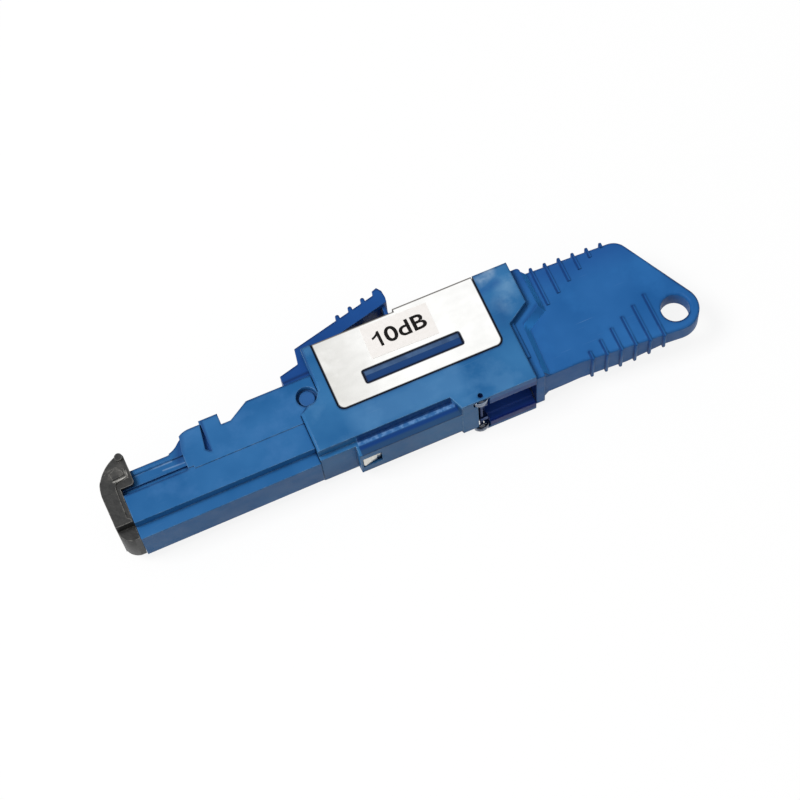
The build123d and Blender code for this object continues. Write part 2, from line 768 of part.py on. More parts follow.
def handle_outline():
    """Outline of the flat handle, with a rounded shoulder and a round end about its eye."""
    slant = (handle_slope_x, handle_slope_y)
    low = handle_eye_y - handle_end_r
    run = (low - handle_shoulder_y) / slant[1]
    corner = (handle_shoulder_x + run * slant[0], low)
    points = [
        (handle_root_x, handle_low_y), (53.2, 6.2), (handle_top_x0, 7.7),
        (handle_top_x0, handle_top_y), (handle_shoulder_x, handle_shoulder_y), corner,
        (handle_eye_x - 0.3, low), (handle_bend_x, handle_low_y),
    ]
    face = make_face(Polyline(*points, close=True))
    ends = face.vertices().sort_by(Axis.X)
    face = fillet(ends[-1], handle_end_r)
    shoulder = face.vertices().filter_by(
        lambda v: abs(v.X - handle_shoulder_x) < 0.01 and abs(v.Y - handle_shoulder_y) < 0.01)
    return fillet(shoulder, handle_shoulder_r)


def handle_taper(extra):
    """Prism with a level upper face and an underside that rises towards the handle's end."""
    top = handle_half + extra
    side = make_face(Polyline(
        (50, -3, top), (x_max + 1, -3, top), (x_max + 1, -3, handle_tip_z - extra),
        (handle_thin_x, -3, handle_tip_z - extra), (handle_mid_x, -3, handle_mid_z - extra),
        (handle_top_x0, -3, -top), (50, -3, -top), close=True))
    return extrude(side, amount=20, dir=(0, 1, 0))


def handle_ribs():
    """Grip ribs that wrap over the handle's two long edges, with rounded tips."""
    ribs = []
    for i in range(rib_count):
        x = top_rib_x0 + i * rib_pitch
        edge = handle_top(x)
        foot = min(top_rib_foot + i * top_rib_rise, edge - 0.3)
        rib = block(x - rib_wide / 2, x + rib_wide / 2, foot, edge + rib_high, -4, 4)
        ribs.append(fillet(rib.edges().filter_by(Axis.Z).group_by(Axis.Y)[-1], rib_wide * 0.4))
        x = low_rib_x0 + i * rib_pitch
        edge = handle_low(x)
        head = low_rib_head + i * low_rib_rise
        rib = block(x - rib_wide / 2, x + rib_wide / 2, edge - rib_high, head, -4, 4)
        ribs.append(fillet(rib.edges().filter_by(Axis.Z).group_by(Axis.Y)[0], rib_wide * 0.4))
    joined = ribs[0]
    for rib in ribs[1:]:
        joined += rib
    return joined & handle_taper(rib_face)


def flange_outline():
    """Outline of the dust plug's flange, stepped to follow the housing's V end."""
    x0 = socket_low_x + 0.08
    top_x = socket_top_x + 0.08
    face = make_face(Polyline(
        (x0, flange_low_y), (x0, notch_low_y - 0.4), (top_x, notch_top_y - 0.5),
        (top_x, flange_top_y), (top_x + flange_wide, flange_top_y),
        (top_x + flange_wide + 0.1, 7.75), (x0 + flange_wide + 0.3, 6.1),
        (x0 + flange_wide - 0.05, flange_low_y), close=True))
    top = face.vertices().group_by(Axis.Y)[-1].sort_by(Axis.X)[-1]
    return fillet(top, flange_top_r)


def flange_skirt_body():
    """Sloping foot that carries the flange's handle side down onto the handle's broad faces."""
    rise = flange_thick / 2 - handle_half + 0.1
    x0 = socket_low_x + 0.08 + flange_wide / 2
    top_x = socket_top_x + 0.08 + flange_wide / 2
    beyond = slab([
        (x0, -0.9), (x0, 6.0), (top_x, 7.8), (top_x, handle_top_y - 0.2), (top_x + 3, handle_top_y - 0.3),
        (top_x + 3, 6.0), (x0 + 3, -0.9),
    ], body_thick)
    foot = offset(flange_outline(), amount=flange_skirt, kind=Kind.INTERSECTION)
    slope = Pos(0, 0, handle_half - 0.1) * extrude(foot, amount=rise, taper=flange_skirt_tilt)
    return both_sides(slope & beyond)


def make_dust_plug():
    x0 = socket_low_x + 0.08
    top_x = socket_top_x + 0.08
    flange = extrude(flange_outline(), amount=flange_thick / 2, both=True)
    tongue = block(
        tongue_x, x0 + 0.5, tongue_step_y, tongue_top_y,
        -tongue_main_thick / 2, tongue_main_thick / 2)
    reach = slab([(x0, tongue_step_y), (x0 + 1, 6.2), (top_x + 0.3, 7.9),
                  (top_x + 0.3, tongue_top_y), (x0, tongue_top_y)], flange_thick - 0.2)
    keel = block(
        tongue_x, x0 + 0.5, tongue_low_y, tongue_step_y + 0.5,
        -tongue_keel_thick / 2, tongue_keel_thick / 2)
    handle = extrude(handle_outline(), amount=4, both=True) & handle_taper(0)
    handle = chamfer(handle.edges().group_by(Axis.Z)[-1], handle_edge_cut)
    handle -= rod_z(handle_eye_x, handle_eye_y, -5, 5, handle_eye_r)
    rims = handle.edges().filter_by(GeomType.CIRCLE).filter_by(
        lambda e: abs(e.radius - handle_eye_r) < 0.001)
    handle = chamfer(rims, handle_eye_cut)
    return flange + flange_skirt_body() + tongue + reach + keel + handle + handle_ribs()


BUILDERS = {
    "plug_body": make_plug_body,
    "rear_housing": make_rear_housing,
    "side_clip": make_side_clip,
    "rating_label": make_rating_label,
    "front_shutter": make_front_shutter,
    "front_shutter_pin": make_front_shutter_pin,
    "front_shutter_spring": make_front_shutter_spring,
    "latch_lever": make_latch_lever,
    "lever_spring": make_lever_spring,
    "ferrule": make_ferrule,
    "doped_fibre": make_doped_fibre,
    "ferrule_flange": make_ferrule_flange,
    "ferrule_spring": make_ferrule_spring,
    "spring_retainer": make_spring_retainer,
    "sleeve_holder": make_sleeve_holder,
    "sleeve_retainer": make_sleeve_retainer,
    "split_sleeve": make_split_sleeve,
    "rear_shutter": make_rear_shutter,
    "rear_shutter_pin": make_rear_shutter_pin,
    "pin_clip_top": make_pin_clip_top,
    "pin_clip_low": make_pin_clip_low,
    "rear_shutter_spring": make_rear_shutter_spring,
    "dust_plug": make_dust_plug,
}


def main():
    os.makedirs("parts", exist_ok=True)
    place = Pos(-centre[0], -centre[1], mid_z)
    for name, build in BUILDERS.items():
        export_step(place * build(), f"parts/{name}.step")


main()
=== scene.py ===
import math

import bpy
import bmesh
from mathutils import Matrix, Vector


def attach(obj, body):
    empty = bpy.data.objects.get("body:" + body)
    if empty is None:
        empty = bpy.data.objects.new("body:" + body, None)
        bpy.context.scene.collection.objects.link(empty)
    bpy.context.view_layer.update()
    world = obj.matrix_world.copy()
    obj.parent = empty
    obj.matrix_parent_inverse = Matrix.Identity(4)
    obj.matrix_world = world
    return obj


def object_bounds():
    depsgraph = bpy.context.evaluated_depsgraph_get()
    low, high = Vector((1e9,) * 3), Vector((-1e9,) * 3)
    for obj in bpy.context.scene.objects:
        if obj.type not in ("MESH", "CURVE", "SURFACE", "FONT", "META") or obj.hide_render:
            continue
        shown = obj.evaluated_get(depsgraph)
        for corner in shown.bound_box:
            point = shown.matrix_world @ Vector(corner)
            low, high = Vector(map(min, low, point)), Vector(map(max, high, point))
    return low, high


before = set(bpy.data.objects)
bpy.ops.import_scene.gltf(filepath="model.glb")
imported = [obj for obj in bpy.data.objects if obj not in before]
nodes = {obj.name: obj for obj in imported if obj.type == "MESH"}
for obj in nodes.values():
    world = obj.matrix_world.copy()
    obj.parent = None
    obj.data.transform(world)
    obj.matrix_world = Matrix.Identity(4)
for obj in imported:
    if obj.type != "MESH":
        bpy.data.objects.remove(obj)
cad_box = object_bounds()

# Sketch millimetres, in which all places below are given: X runs from the nose's front edge to the
# handle, Y up to the lever's side, and Z from the middle plane between the broad sides.
PER_MM = 1000
CAP_REACH = 2.5
LEVER_TOP = 19.0
HALF_THICK = 4.8
LOW, HIGH = Vector(cad_box[0]), Vector(cad_box[1])
X0 = LOW.x * PER_MM + CAP_REACH
Y0 = HIGH.y * PER_MM - LEVER_TOP
Z0 = HALF_THICK

# Masks fold the part about its middle plane, so Y is raised by this much to keep it above zero.
RAISE_Y = 20

# Places that more than one mask uses
PLATE_X = (28.5, 50.4)
PLATE_Y = (4.48, 17)
PLATE_CORNER = 0.85
RIB_X = (32.5, 46.3)
RIB_Z = (4.3, 5)

# Rays that the edge and crevice masks cast from each point
EDGE_RAYS = 6
CREVICE_RAYS = 8


def at(x, y, z=0.0):
    """A point of the sketch in metres."""
    return Vector(((x + X0) / PER_MM, (y + Y0) / PER_MM, (z + Z0) / PER_MM))


# Node helpers

def new_material(name):
    m = bpy.data.materials.new(name)
    m.use_nodes = True
    t = m.node_tree
    t.nodes.clear()
    out = t.nodes.new("ShaderNodeOutputMaterial")
    bsdf = t.nodes.new("ShaderNodeBsdfPrincipled")
    t.links.new(bsdf.outputs[0], out.inputs[0])
    return m, t, bsdf


def add(t, kind, **props):
    n = t.nodes.new(kind)
    for key, value in props.items():
        setattr(n, key, value)
    return n


def feed(t, socket, value):
    """Sets a socket to a plain value or links an output to it."""
    if isinstance(value, (int, float, tuple)):
        socket.default_value = value
    elif value is not None:
        t.links.new(value, socket)


def noise(t, coords, scale, detail=3.0, rough=0.5):
    n = add(t, "ShaderNodeTexNoise")
    n.inputs["Scale"].default_value = scale
    n.inputs["Detail"].default_value = detail
    n.inputs["Roughness"].default_value = rough
    t.links.new(coords, n.inputs["Vector"])
    return n.outputs["Fac"]


def ramp(t, fac, low, high, start=0.3, end=0.7):
    """A colour that goes from low to high as a value goes from start to end."""
    n = add(t, "ShaderNodeValToRGB")
    for element, position, colour in zip(n.color_ramp.elements, (start, end), (low, high)):
        element.position = position
        element.color = colour
    t.links.new(fac, n.inputs["Fac"])
    return n.outputs["Color"]


def bump(t, bsdf, height, strength, distance):
    n = add(t, "ShaderNodeBump")
    n.inputs["Strength"].default_value = strength
    n.inputs["Distance"].default_value = distance
    t.links.new(height, n.inputs["Height"])
    t.links.new(n.outputs["Normal"], bsdf.inputs["Normal"])
    return n


def srgb(r, g, b):
    """A colour written as 0 to 255 in a picture, in linear light."""
    def linear(c):
        c = c / 255
        return c / 12.92 if c <= 0.04045 else ((c + 0.055) / 1.055) ** 2.4
    return (linear(r), linear(g), linear(b), 1.0)


def grey(v):
    return (v, v, v, 1.0)


def math_node(t, op, a, b=None, clamp=False):
    n = add(t, "ShaderNodeMath", operation=op, use_clamp=clamp)
    feed(t, n.inputs[0], a)
    feed(t, n.inputs[1], b)
    return n.outputs[0]


def both(t, a, b):
    """Where two masks meet."""
    return math_node(t, "MULTIPLY", a, b)


def either(t, a, b):
    """Where one mask or the other is."""
    return math_node(t, "MAXIMUM", a, b)


def remap(t, value, a0, a1, b0=0.0, b1=1.0):
    """Goes from b0 to b1, 0 to 1 unless told, as the value goes from a0 to a1."""
    n = add(t, "ShaderNodeMapRange")
    for key, v in (("From Min", a0), ("From Max", a1), ("To Min", b0), ("To Max", b1)):
        n.inputs[key].default_value = v
    t.links.new(value, n.inputs["Value"])
    return n.outputs[0]


def blend_colour(t, fac, a, b):
    n = add(t, "ShaderNodeMix", data_type="RGBA", blend_type="MIX")
    for i, value in ((0, fac), (6, a), (7, b)):
        feed(t, n.inputs[i], value)
    return n.outputs[2]


def object_coords(t):
    return add(t, "ShaderNodeTexCoord").outputs["Object"]


def vector_math(t, op, a, b=None, out="Vector"):
    n = add(t, "ShaderNodeVectorMath", operation=op)
    feed(t, n.inputs[0], a)
    feed(t, n.inputs[1], b)
    return n.outputs[out]


def scaled(t, vector, factor):
    n = add(t, "ShaderNodeVectorMath", operation="SCALE")
    feed(t, n.inputs[0], vector)
    feed(t, n.inputs["Scale"], factor)
    return n.outputs[0]


def split(t, vector):
    sep = add(t, "ShaderNodeSeparateXYZ")
    t.links.new(vector, sep.inputs[0])
    return sep.outputs


def true_normal(t):
    return add(t, "ShaderNodeNewGeometry").outputs["True Normal"]


def rounded_normal(t, radius_mm):
    """Normals as if edges had this rounding."""
    bev = add(t, "ShaderNodeBevel", samples=EDGE_RAYS)
    bev.inputs["Radius"].default_value = radius_mm / PER_MM
    return bev.outputs[0]


# Masks from the shape

def edge_mask(t, radius_mm, facing=None):
    """1 on the rounding of edges and 0 on the flats, or only on edges that face one way."""
    rounded = rounded_normal(t, radius_mm)
    turn = vector_math(t, "DOT_PRODUCT", rounded, true_normal(t), out="Value")
    mask = remap(t, turn, 0.995, 0.9)
    if facing:
        toward = vector_math(t, "DOT_PRODUCT", rounded, facing, out="Value")
        mask = both(t, mask, remap(t, toward, 0.15, 0.45))
    return mask


def upper_edge(t, radius_mm):
    """1 on the eased edges between a broad side and a face turned to +Y or +X."""
    rounded = rounded_normal(t, radius_mm)
    turned = vector_math(t, "DOT_PRODUCT", rounded, (0.35, 0.9, 0.0), out="Value")
    tilt = split(t, vector_math(t, "ABSOLUTE", rounded))[2]
    eased = both(t, remap(t, tilt, 0.15, 0.25), remap(t, tilt, 0.99, 0.95))
    return both(t, eased, remap(t, turned, 0.12, 0.35))


def crevice_mask(t, distance_mm):
    """1 in the open and less in corners and gaps."""
    ao = add(t, "ShaderNodeAmbientOcclusion", samples=CREVICE_RAYS)
    ao.inputs["Distance"].default_value = distance_mm / PER_MM
    return ao.outputs["AO"]


def plan_tilt(t):
    """How far a face is turned to the broad sides, 0 to 1."""
    return split(t, vector_math(t, "ABSOLUTE", true_normal(t)))[2]


def broad_side(t):
    """1 on faces turned to the broad sides."""
    return remap(t, plan_tilt(t), 0.4, 0.55)


def normal_range(t, axis, start, end):
    """0 to 1 as the face's normal along an axis goes from start to end."""
    return remap(t, split(t, true_normal(t))[axis], start, end)


# Masks from places in the sketch

def sketch_mm(t):
    """Object coordinates in sketch millimetres, with Y raised and Z as the height over the middle plane."""
    from_zero = vector_math(t, "SUBTRACT", scaled(t, object_coords(t), PER_MM), (X0, Y0 - RAISE_Y, Z0))
    return vector_math(t, "ABSOLUTE", from_zero)


def within(t, value, low, high, soft):
    """1 where the value lies between two limits."""
    over_low = remap(t, value, low - soft, low + soft)
    under_high = remap(t, value, high - soft, high + soft, 1.0, 0.0)
    return both(t, over_low, under_high)


def zone(t, x=None, y=None, z=None, soft=0.05):
    """1 inside a box."""
    place = split(t, sketch_mm(t))
    mask = 1.0
    for value, limits, shift in zip(place, (x, y, z), (0, RAISE_Y, 0)):
        if limits:
            low, high = limits
            mask = both(t, mask, within(t, value, low + shift, high + shift, soft))
    return mask


def outline_distance(t, x, y, radius):
    """Millimetres outside a round-cornered rectangle in the plan, negative inside."""
    endless = 100
    middle = (sum(x) / 2, sum(y) / 2 + RAISE_Y, 0)
    half = ((x[1] - x[0]) / 2 - radius, (y[1] - y[0]) / 2 - radius, endless)
    off = vector_math(t, "ABSOLUTE", vector_math(t, "SUBTRACT", sketch_mm(t), middle))
    over = vector_math(t, "MAXIMUM", vector_math(t, "SUBTRACT", off, half), (0, 0, 0))
    return math_node(t, "SUBTRACT", vector_math(t, "LENGTH", over, out="Value"), radius)


def stroke(t, start, end, width, soft):
    """1 along a line in the plan, fading at its sides and ends."""
    a = (start[0], start[1] + RAISE_Y, 0)
    run = (end[0] - start[0], end[1] - start[1], 0)
    length = math.hypot(run[0], run[1])
    along = tuple(v / length for v in run)
    off = vector_math(t, "MULTIPLY", vector_math(t, "SUBTRACT", sketch_mm(t), a), (1, 1, 0))
    dist = vector_math(t, "DOT_PRODUCT", off, along, out="Value")
    held = math_node(t, "MINIMUM", math_node(t, "MAXIMUM", dist, 0.0), length)
    nearest = scaled(t, vector_math(t, "NORMALIZE", run), held)
    gap = vector_math(t, "LENGTH", vector_math(t, "SUBTRACT", off, nearest), out="Value")
    return remap(t, gap, width / 2 - soft / 2, width / 2 + soft / 2, 1.0, 0.0)


def low_half(t):
    """1 on the side that lies on the floor."""
    height = split(t, object_coords(t))[2]
    return remap(t, height, Z0 / PER_MM, (Z0 - 0.1) / PER_MM)


# Masks from noise

def smudges(t, scale, low=0.5, high=0.68):
    """Soft cloudy patches."""
    return remap(t, noise(t, object_coords(t), scale, 4, 0.55), low, high)


def stretched(t, co, scale, turn=0.0):
    mp = add(t, "ShaderNodeMapping")
    mp.inputs["Rotation"].default_value = (0, 0, turn)
    mp.inputs["Scale"].default_value = scale
    t.links.new(co, mp.inputs["Vector"])
    return mp.outputs[0]


def fine_scratches(t, co):
    """Sparse short hairlines, 1 on a line."""
    lines = None
    for turn in (0.5, -0.9, 1.7):
        streaks = noise(t, stretched(t, co, (120, 4200, 120), turn), 1.0, 2, 0.4)
        hit = remap(t, streaks, 0.7, 0.76)
        lines = hit if lines is None else either(t, lines, hit)
    patch = remap(t, noise(t, co, 190, 2), 0.48, 0.62)
    return both(t, lines, patch)


# Tones that masks lay over a material's own colour, most of them painted light and shade

TONES = {
    "pale": srgb(150, 186, 216),
    "deep": srgb(10, 38, 86),
    "shade": srgb(14, 54, 112),
    "glint": srgb(150, 182, 216),
    "gap_shade": srgb(14, 20, 40),
    "nose_sheen": srgb(70, 122, 178),
    "slit": srgb(30, 84, 150),
    "housing_sheen": srgb(92, 142, 188),
    "housing_light": srgb(84, 136, 184),
    "corner_light": srgb(132, 172, 204),
    "corner_shade": srgb(30, 82, 146),
    "corner_glint": srgb(176, 202, 224),
    "corner_foot_shade": srgb(20, 66, 124),
    "rib_lit": srgb(58, 84, 122),
    "rib_sheen_streak": srgb(84, 116, 158),
    "rib_shaded": srgb(26, 64, 118),
    "rail_flat_sheen": srgb(58, 108, 166),
    "rail_glint_speck": srgb(120, 164, 214),
    "rail_wall_shade": srgb(40, 70, 108),
    "rail_turn_shade": srgb(14, 60, 126),
    "window_wall": srgb(38, 98, 168),
    "window_edge": srgb(22, 64, 136),
    "window_low": srgb(14, 34, 108),
    "socket": srgb(36, 66, 146),
    "plug_sheen": srgb(44, 108, 172),
    "handle_top_shade": srgb(26, 74, 140),
    "skirt": srgb(50, 140, 222),
    "skirt_turn_shade": srgb(26, 84, 148),
    "flange_foot_light": srgb(38, 98, 160),
    "flange_front_shade": srgb(16, 34, 92),
    "tongue": srgb(22, 56, 122),
    "boss": srgb(52, 104, 160),
    "plate_greyer_end": srgb(200, 199, 195),
    "bend_dark_reflection": srgb(84, 79, 74),
    "clip_shade": srgb(26, 36, 60),
    "cast_wear_glint": srgb(140, 138, 133),
    "cast_recess": srgb(100, 98, 94),
    "cast_glint": srgb(206, 204, 198),
    "cast_dark": srgb(22, 22, 23),
}


def paint(t, colour, tone, amount, *masks):
    """The colour with a tone laid over it where all masks meet."""
    for mask in masks:
        amount = both(t, amount, mask)
    return blend_colour(t, amount, colour, TONES[tone])


def nose_tint(t, colour):
    """Painted sheen in cloudy patches on the top, painted shade in the slit and on the neck, and painted
    glints on the front ridges.
    """
    top = both(t, zone(t, z=(3.9, 9)), broad_side(t))
    # Painted sheen in cloudy patches on the top side
    colour = paint(t, colour, "nose_sheen", 0.35, smudges(t, 260), top)
    # Painted shade in the slit and along it, and on the neck
    slit = zone(t, x=(11, 13), y=(5.8, 12), z=(2, 4.12), soft=0.03)
    colour = paint(t, colour, "slit", 1.0, slit, normal_range(t, 1, 0.7, 0.5))
    colour = paint(t, colour, "shade", 0.75, stroke(t, (12.15, 10.3), (11.95, 6.4), 0.34, 0.3), top)
    neck = stroke(t, (7.9, 7.2), (8.7, 9.4), 0.8, 1.1)
    colour = paint(t, colour, "shade", 0.8, neck, broad_side(t))
    front_ridge = stroke(t, (2.2, 7.52), (7.0, 7.5), 0.1, 0.2)
    rear_ridge = stroke(t, (5.6, 6.8), (8.4, 6.7), 0.1, 0.2)
    return paint(t, colour, "glint", 0.6, either(t, front_ridge, rear_ridge), smudges(t, 420, 0.4, 0.6))


def housing_light_and_shade(t, colour):
    """Painted light and shade: a cloudy sheen and a lighter lower part on the broad side, the bright corner
    over the V with glints and a shaded edge and foot, and the dark line of shade beside the lever.
    """
    top = zone(t, z=(4.6, 9))
    # Painted sheen in cloudy patches, and painted light on the broad side's lower part
    colour = paint(t, colour, "housing_sheen", 0.25, smudges(t, 300, 0.48, 0.64), top)
    colour = paint(t, colour, "housing_light", 0.45, zone(t, x=(29, 44), y=(0.3, 4.2), soft=0.9), top)
    # Painted light and glints on the corner over the V, with painted shade along its edge and at its foot
    cloud = smudges(t, 520, 0.34, 0.6)
    corner_light = stroke(t, (54.6, 12.6), (52.9, 9.6), 1.2, 2.6)
    colour = paint(t, colour, "corner_light", 0.55, corner_light, top, cloud)
    colour = paint(t, colour, "corner_shade", 0.75, stroke(t, (50.6, 12.0), (53.0, 12.5), 0.5, 1.2), top)
    corner_glint = stroke(t, (50.8, 13.4), (52.8, 14.1), 0.4, 1.7)
    colour = paint(t, colour, "corner_glint", 0.85, corner_glint, top, cloud)
    colour = paint(t, colour, "corner_foot_shade", 0.5, stroke(t, (52.0, 9.4), (51.7, 7.2), 0.8, 2.2), top)
    # Painted shade in a line beside the lever
    return paint(t, colour, "shade", 0.75, stroke(t, (27.1, 14.0), (26.85, 8.9), 0.36, 0.35), top)


def plate_seam(t, colour):
    """Painted shade in the gap round the plate and round the rib in the plate's slot, and painted light and
    shade on the rib's upper and lower halves.
    """
    seam = remap(t, outline_distance(t, PLATE_X, PLATE_Y, PLATE_CORNER), 0.16, 0.28, 1.0, 0.0)
    # Painted shade in the gap round the plate
    colour = paint(t, colour, "gap_shade", 0.95, seam, zone(t, z=(4.2, 9), soft=0.01))
    slot = outline_distance(t, (32.85, 45.95), (6.43, 8.23), 0.3)
    high = zone(t, x=RIB_X, y=(7.4, 8.4), z=RIB_Z)
    low = zone(t, x=RIB_X, y=(6.2, 7.4), z=RIB_Z)
    # Painted light on the rib's upper half with sheen streaks, and painted shade on its lower half
    colour = paint(t, colour, "rib_lit", 0.85, high)
    colour = paint(t, colour, "rib_sheen_streak", 0.5, high, smudges(t, 700, 0.35, 0.65))
    colour = paint(t, colour, "rib_shaded", 0.95, low)
    # Painted shade in the gap round the rib
    rim = both(t, remap(t, slot, -0.3, -0.16), remap(t, slot, 0.0, 0.25, 1.0, 0.0))
    return paint(t, colour, "gap_shade", 0.9, rim, zone(t, z=RIB_Z))


def rail_tones(t, colour):
    """Painted light and shade on the rail: sheen and glinting specks on its flat, shade on its darker wall
    and turn, and shade on the step under the broad side.
    """
    rail = zone(t, x=(28.8, 42.3), y=(-2.3, 0.6), z=(2.4, 4.2))
    flat = zone(t, y=(-0.3, 0.6))
    # Painted sheen and glinting specks on the rail's flat
    colour = paint(t, colour, "rail_flat_sheen", 0.9, rail, flat)
    colour = paint(t, colour, "rail_glint_speck", 0.6, rail, flat, smudges(t, 1500, 0.45, 0.62))
    # Painted shade on the rail's wall and turn, and on the step under the broad side
    colour = paint(t, colour, "rail_wall_shade", 0.9, rail, zone(t, y=(-1.5, -0.34), soft=0.1))
    colour = paint(t, colour, "rail_turn_shade", 0.9, rail, zone(t, y=(-0.8, -0.34), soft=0.12))
    return paint(t, colour, "shade", 0.85, zone(t, x=(28.9, 42.4), y=(0.2, 0.62), z=(3.1, 4.62)))


def window_tones(t, colour):
    """The walls round the bottom window, and the socket behind it, out of the light."""
    wall = zone(t, x=(45.9, 52.6), y=(-9, -1.0), z=(-1, 4.68))
    colour = paint(t, colour, "window_wall", 0.6, wall)
    colour = paint(t, colour, "window_edge", 0.75, wall, zone(t, z=(1.5, 3.7), soft=0.15))
    colour = paint(t, colour, "window_low", 0.9, wall, low_half(t), zone(t, z=(1.5, 4.25), soft=0.08))
    socket = zone(t, x=(44.4, 52.15), y=(-1.3, 11), z=(-1, 4.35), soft=0.08)
    return paint(t, colour, "socket", 0.92, socket)


def housing_tint(t, colour):
    for part in (housing_light_and_shade, plate_seam, rail_tones, window_tones):
        colour = part(t, colour)
    return colour


def grip_lines(t, colour, first_x, x, y):
    """Painted shade: a dark line along each grip rib of one edge of the handle."""
    pitch = 1.9
    place = split(t, sketch_mm(t))
    beat = math_node(t, "PINGPONG", math_node(t, "SUBTRACT", place[0], first_x), pitch / 2)
    line = remap(t, beat, 0.06, 0.16, 1.0, 0.0)
    return paint(t, colour, "shade", 0.9, line, zone(t, x=x, y=y, z=(2.53, 5), soft=0.02))


def flange_tones(t, colour):
    """Painted light and shade at the flange: a soft shaded seam beside it, its sloping skirt that runs out
    into the handle painted light with shade where it turns, painted light over its foot, and shade on its
    front behind the window.
    """
    long_seam = stroke(t, (54.0, 6.4), (53.5, -0.1), 0.12, 0.3)
    turn_seam = stroke(t, (56.4, 7.9), (54.1, 6.3), 0.3, 0.5)
    # Painted shade along the seam beside the flange
    colour = paint(t, colour, "shade", 0.6, either(t, long_seam, turn_seam))
    skirt = both(t, within(t, plan_tilt(t), 0.44, 0.62, 0.02), zone(t, x=(52.5, 57.8)))
    # Painted light on the sloping skirt, and painted shade where it turns
    colour = paint(t, colour, "skirt", 0.85, skirt)
    colour = paint(t, colour, "skirt_turn_shade", 0.7, skirt, zone(t, x=(53.9, 57.6), y=(6.5, 8.2), soft=0.7))
    # Painted light over the shaded corner at the flange's foot
    colour = paint(t, colour, "flange_foot_light", 0.85, zone(t, x=(52.4, 53.7), y=(0.7, 7.4), z=(3.6, 5)))
    behind_window = zone(t, x=(52.0, 52.7), y=(-3, 3.6))
    # Painted shade on the flange's front, seen through the window
    return paint(t, colour, "flange_front_shade", 0.9, normal_range(t, 0, -0.7, -0.85), behind_window)


def plug_tint(t, colour):
    """Painted sheen on the handle, painted shade towards its upper edge, along its grip ribs and on the
    ribs' flanks, the flange's painted light and shade, and the tongue out of the light.
    """
    # Painted sheen in cloudy patches, and painted shade towards the handle's upper edge
    colour = paint(t, colour, "plug_sheen", 0.5, smudges(t, 240))
    colour = paint(t, colour, "handle_top_shade", 0.6, zone(t, x=(54, 72), y=(10.4, 15), soft=1.6))
    colour = grip_lines(t, colour, 58.0, (57, 71), (6.5, 15))
    colour = grip_lines(t, colour, 58.05, (59, 71), (-9, 6.5))
    # Painted shade on the ribs' flanks turned to -X
    rib_flank = zone(t, x=(57.5, 71), y=(-9, 1.2), soft=0.1)
    colour = paint(t, colour, "shade", 0.75, normal_range(t, 0, -0.45, -0.6), rib_flank)
    colour = flange_tones(t, colour)
    return paint(t, colour, "tongue", 0.6, zone(t, x=(40, 52.2)))


def plug_calm(t):
    """Where the flange's skirt runs out into the handle, and the ribs on the broad faces."""
    skirt = zone(t, x=(51.4, 57.4), y=(-1.2, 15), soft=0.1)
    return either(t, skirt, zone(t, x=(57, 72), y=(-0.5, 12.4), soft=0.1))


def lever_tint(t, colour):
    """Painted light: the pivot boss catches light in its round pocket; painted shade: a dark line along the
    foot.
    """
    foot = stroke(t, (23.3, 11.6), (26.9, 11.7), 0.3, 0.3)
    colour = paint(t, colour, "deep", 0.8, foot, broad_side(t))
    return paint(t, colour, "boss", 0.7, zone(t, x=(24.1, 26.7), y=(6.8, 9.4), z=(2.5, 5)))


def plate_tint(t, colour):
    """The plate's greyer left end, painted shade at its rim and at its slot's rim, and a painted dark
    reflection along the bend of its upper edge.
    """
    greyer_end = zone(t, x=(20, 33), soft=5)
    colour = paint(t, colour, "plate_greyer_end", 0.9, greyer_end, smudges(t, 160, 0.2, 0.5))
    rim = outline_distance(t, PLATE_X, PLATE_Y, PLATE_CORNER)
    # Painted shade at the plate's rim and at its slot's rim
    colour = paint(t, colour, "gap_shade", 0.9, remap(t, rim, -0.14, -0.06))
    slot = outline_distance(t, (32.8, 46.0), (6.38, 8.28), 0.35)
    colour = paint(t, colour, "gap_shade", 0.9, remap(t, slot, 0.06, 0.14, 1.0, 0.0))
    # Painted dark reflection along the bend of the upper edge
    low_bend = zone(t, x=(20, 39.7), y=(14.0, 20), soft=0.04)
    bend = either(t, low_bend, zone(t, y=(14.34, 20), soft=0.04))
    return paint(t, colour, "bend_dark_reflection", 0.9, bend, zone(t, z=(4.6, 5)))


def clip_tint(t, colour):
    """Painted shade: the pin clip on the floor's side is painted darker than the one on top."""
    return paint(t, colour, "clip_shade", 0.75, low_half(t), smudges(t, 1500, 0.4, 0.5))


# Materials

def soft_normal(t, bsdf, height, radius_mm, calm=None):
    """Bump on top of edges that shade as if rounded; a mask can calm low relief."""
    n = bump(t, bsdf, height, 0.5, 0.00006)
    normal = rounded_normal(t, radius_mm)
    if calm is not None:
        side = vector_math(t, "SIGN", vector_math(t, "MULTIPLY", normal, (0, 0, 1)))
        tilt = split(t, vector_math(t, "ABSOLUTE", normal))[2]
        mix = add(t, "ShaderNodeMix", data_type="VECTOR")
        feed(t, mix.inputs[0], both(t, remap(t, tilt, 0.36, 0.46, 0.0, 0.85), calm))
        feed(t, mix.inputs[4], normal)
        feed(t, mix.inputs[5], side)
        normal = vector_math(t, "NORMALIZE", mix.outputs[1])
    t.links.new(normal, n.inputs["Normal"])


